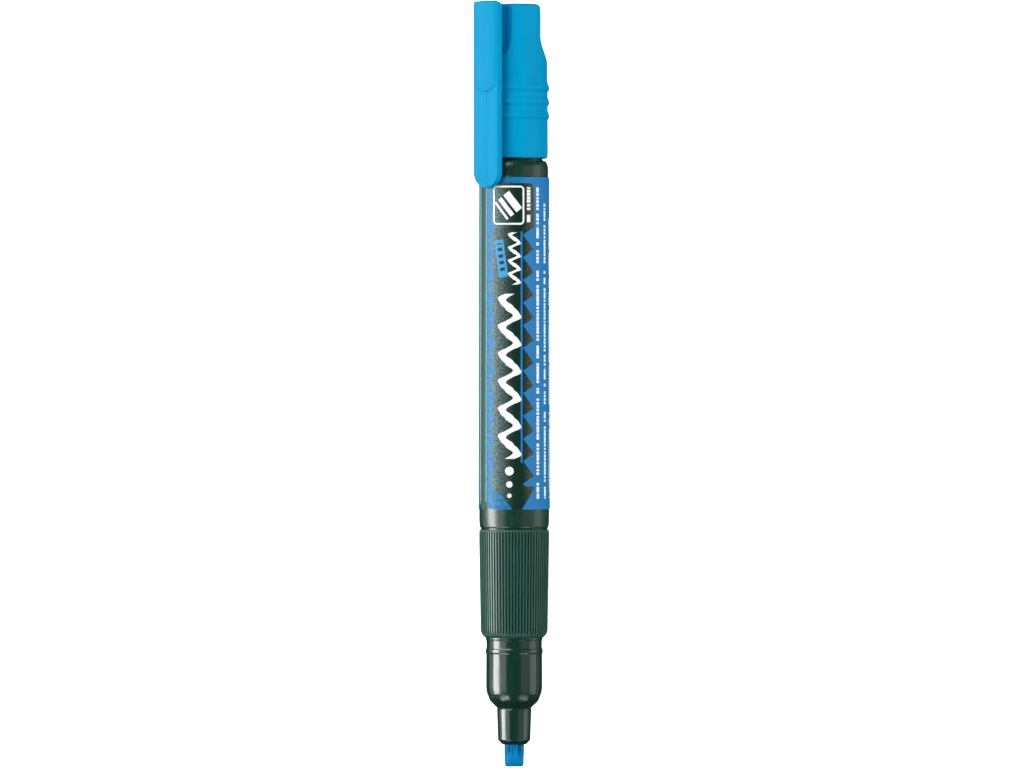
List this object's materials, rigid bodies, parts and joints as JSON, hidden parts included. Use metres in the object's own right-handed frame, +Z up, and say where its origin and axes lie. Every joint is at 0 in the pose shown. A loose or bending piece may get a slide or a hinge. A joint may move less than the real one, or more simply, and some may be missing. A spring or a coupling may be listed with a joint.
{
  "type": "wet-erase marker",
  "caption": "Slim marker with a valve-fed chisel nib, ribbed grip, printed wrap and a clip cap posted on its rear end.",
  "frame": {"origin": "on the surface the marker lies on, under its axis, midway between the nib's tip and the top of the clip's boss", "axes": "+Y along the marker's axis towards the cap end, +Z up, -X on the clip's side"},
  "size_m": [0.0153, 0.15, 0.0161],
  "materials": {
    "green_plastic": "gloss moulded polypropylene",
    "grip_plastic": "satin, fine lengthwise ribs",
    "blue_plastic": "satin moulded polypropylene",
    "natural_plastic": "natural, slightly translucent",
    "printed_film": "printed film in blue and dark green, no lettering",
    "nib_fibre": "bonded fibre soaked with pigment",
    "seal_rubber": "matt",
    "spring_steel": "drawn wire",
    "ball_steel": "polished"
  },
  "bodies": {
    "barrel_body": {"barrel": "green_plastic", "tail_plug": "green_plastic", "label_wrap": "printed_film", "front_section": "green_plastic", "grip_sleeve": "grip_plastic", "valve_housing": "natural_plastic", "valve_seal": "seal_rubber", "spring_retainer": "natural_plastic", "valve_spring": "spring_steel"},
    "nib_body": {"nib": "nib_fibre", "valve_stem": "natural_plastic"},
    "ball_body": {"mixing_ball": "ball_steel"},
    "cap_body": {"cap_shell": "blue_plastic", "inner_cap": "natural_plastic"},
    "clip_body": {"clip": "blue_plastic"}
  },
  "joints": [
    {"name": "cap_slide", "type": "slide", "parent": "barrel_body", "child": "cap_body", "axis": [0, 1, 0], "range_m": [0, 0.04]},
    {"name": "clip_flex", "type": "hinge", "parent": "cap_body", "child": "clip_body", "pos_m": [-0.00508, 0.06455, 0.01303], "axis": [-0.766, 0, -0.6428], "range_deg": [0, 5], "stiffness_Nm_per_rad": 0.05},
    {"name": "nib_press", "type": "slide", "parent": "barrel_body", "child": "nib_body", "axis": [0, 1, 0], "range_m": [0, 0.0018], "stiffness_N_per_m": 300, "springref_m": -0.003, "deforming": ["valve_spring"]},
    {"name": "ball_travel", "type": "slide", "parent": "barrel_body", "child": "ball_body", "axis": [0, 1, 0], "range_m": [0, 0.0482]}
  ]
}
